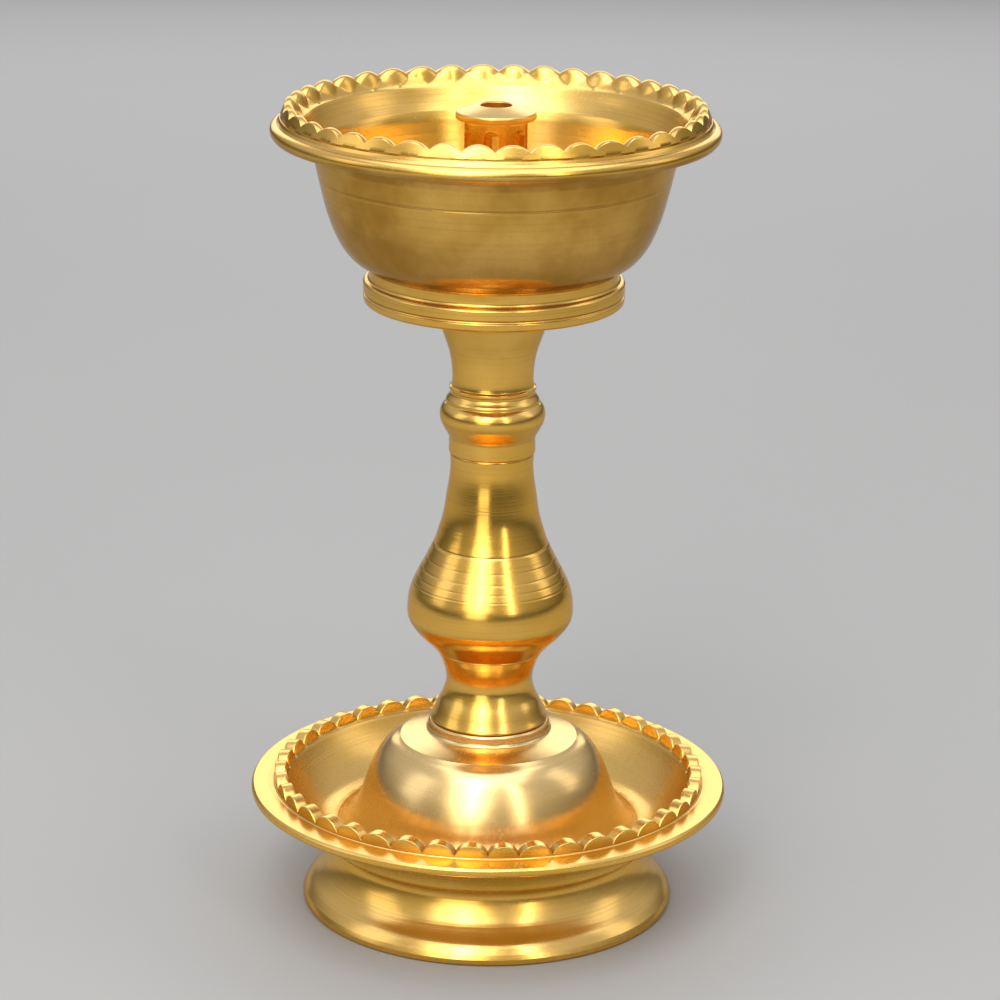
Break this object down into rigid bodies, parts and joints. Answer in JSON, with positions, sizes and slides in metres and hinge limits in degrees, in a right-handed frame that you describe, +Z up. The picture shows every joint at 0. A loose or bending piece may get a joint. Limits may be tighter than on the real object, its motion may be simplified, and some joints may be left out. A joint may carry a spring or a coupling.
{
  "type": "standing oil lamp",
  "caption": "Turned brass standing oil lamp: scalloped bowl with loose wick holder, baluster stem, domed scalloped drip tray and hollow foot; the bowl unscrews.",
  "frame": {"origin": "centre of the foot's base, on the surface that the lamp stands on", "axes": "+Z up along the turning axis, +X to the viewer's right, +Y away from the viewer"},
  "size_m": [0.104, 0.104, 0.1777],
  "materials": {
    "foot_brass": "polished, lathe-turned",
    "tray_brass": "polished, lathe-turned",
    "dome_brass": "polished, lathe-turned",
    "stem_brass": "polished, lathe-turned",
    "bowl_brass": "polished, lathe-turned",
    "rod_brass": "machined",
    "hardware_brass": "machined",
    "washer_brass": "machined",
    "wick_brass": "polished, lathe-turned"
  },
  "bodies": {
    "stand": {"foot_ring": "foot_brass", "drip_tray": "tray_brass", "base_dome": "dome_brass", "stem_bell": "stem_brass", "stem_vase": "stem_brass", "stem_neck": "stem_brass", "tie_rod": "rod_brass", "base_washer": "hardware_brass", "base_nut": "hardware_brass"},
    "washer": {"bowl_washer": "washer_brass"},
    "oil_bowl": {"bowl_base": "bowl_brass", "bowl": "bowl_brass"},
    "wick_holder": {"wick_tube": "wick_brass", "wick_cap": "wick_brass"}
  },
  "joints": [
    {"name": "bowl_turn", "type": "hinge", "parent": "stand", "child": "washer", "pos_m": [0, 0, 0.1345], "axis": [0, 0, 1], "range_deg": [0, 2016]},
    {"name": "bowl_rise", "type": "slide", "parent": "washer", "child": "oil_bowl", "axis": [0, 0, 1], "range_m": [0, 0.0071]},
    {"name": "wick_lift", "type": "slide", "parent": "oil_bowl", "child": "wick_holder", "axis": [0, 0, 1], "range_m": [0, 0.04]}
  ],
  "couplings": [
    {"joint": "bowl_rise", "follows": "bowl_turn", "m_per_rad": 0.00019894}
  ]
}
